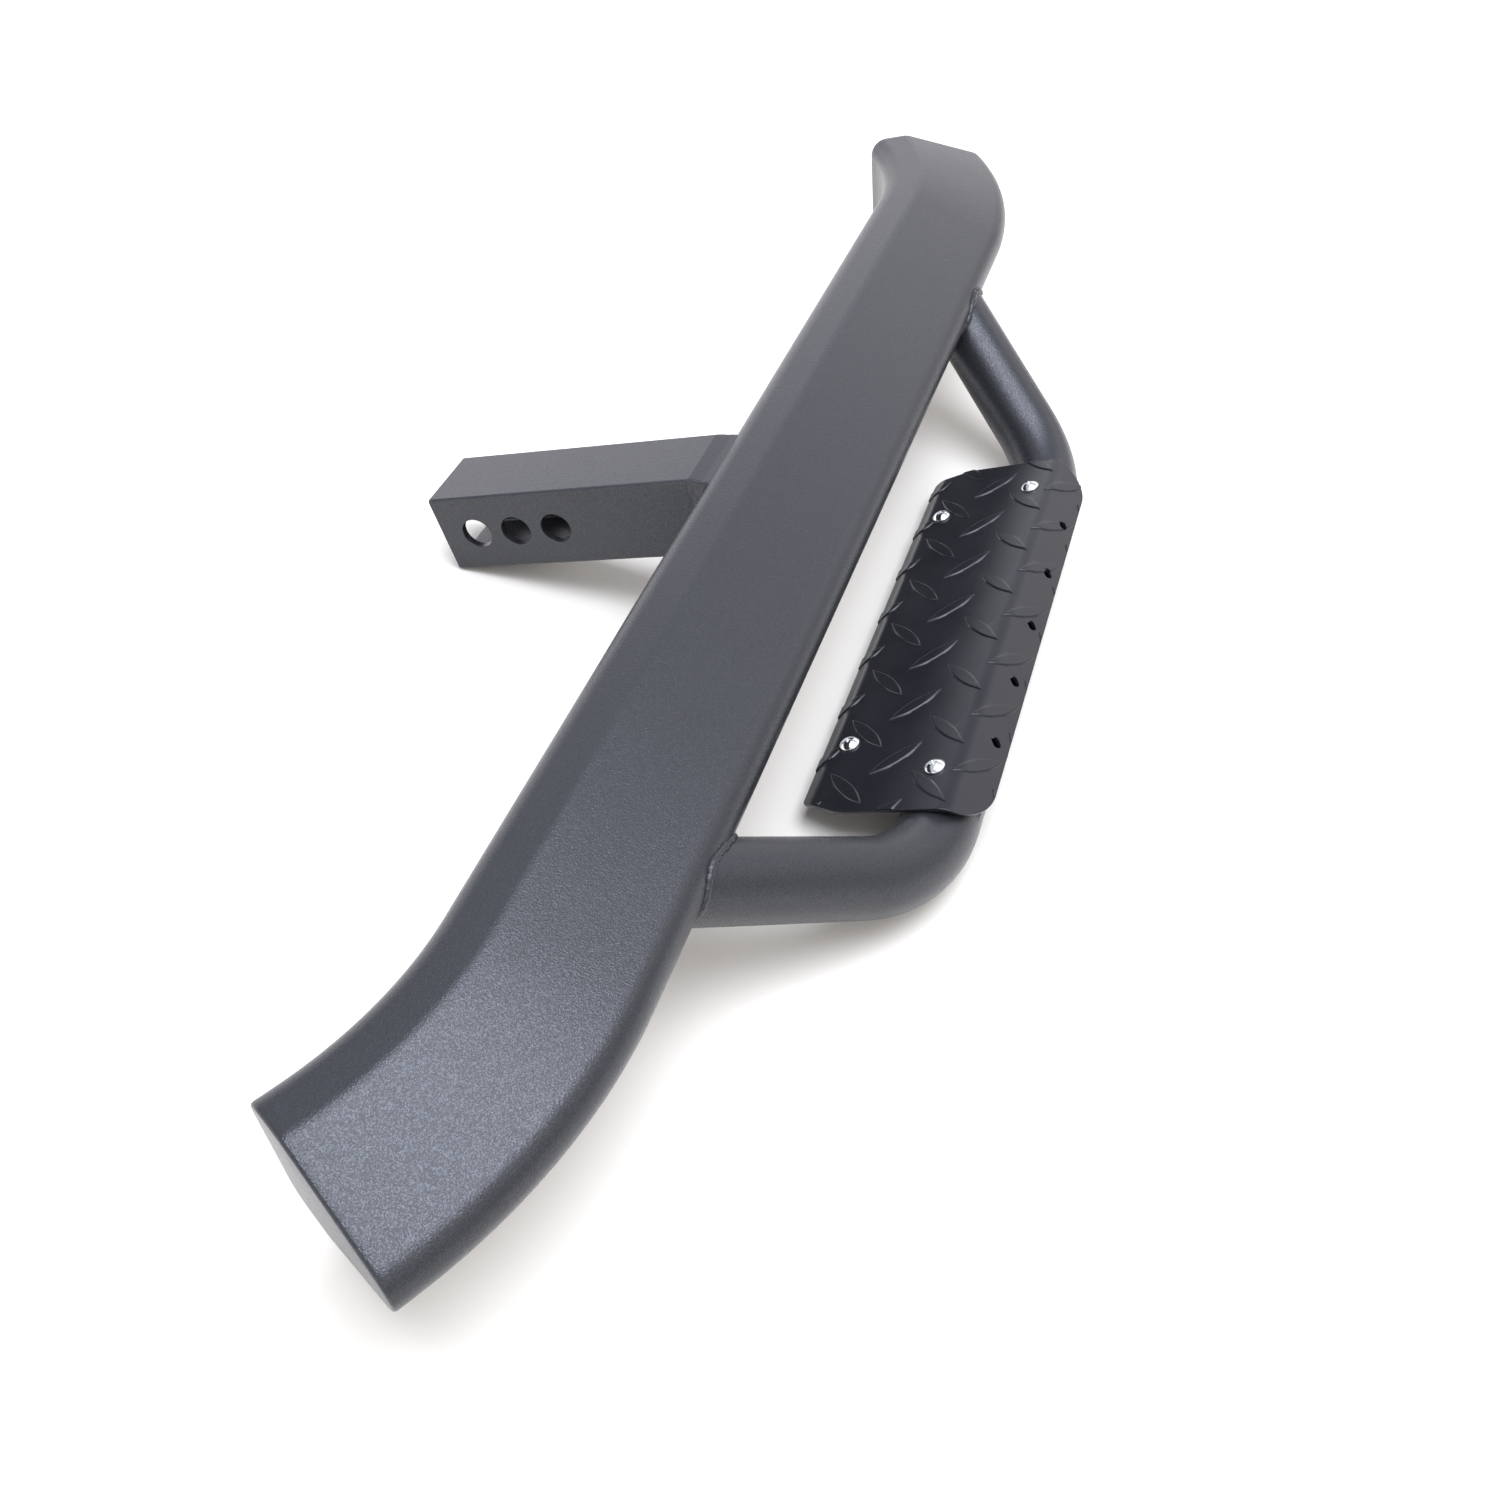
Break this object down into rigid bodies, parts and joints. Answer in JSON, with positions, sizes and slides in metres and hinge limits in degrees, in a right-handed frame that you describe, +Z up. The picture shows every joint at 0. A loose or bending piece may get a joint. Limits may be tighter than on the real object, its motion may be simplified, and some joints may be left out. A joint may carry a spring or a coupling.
{
  "type": "hitch receiver step",
  "caption": "Hitch step: a bent hollow steel bar across a square receiver shank, with a round tube hoop below that carries a folded tread plate for the foot.",
  "frame": {"origin": "centre of the middle pin hole in the receiver shank", "axes": "+X along the bar and along the pin holes, +Y along the shank towards the vehicle, +Z up"},
  "size_m": [0.9936, 0.3543, 0.1684],
  "materials": {
    "frame_coat": "satin charcoal powder coat with fine metallic speckle",
    "tread_coat": "satin black powder coat",
    "screw_plating": "bright plated"
  },
  "bodies": {
    "root": {"main_bar": "frame_coat", "end_cap_left": "frame_coat", "end_cap_right": "frame_coat", "receiver_shank": "frame_coat", "shank_weld": "frame_coat", "step_hoop": "frame_coat", "hoop_weld_left": "frame_coat", "hoop_weld_right": "frame_coat", "plate_tab_left": "frame_coat", "plate_tab_right": "frame_coat", "step_plate": "tread_coat", "plate_screws": "screw_plating"}
  },
  "joints": []
}
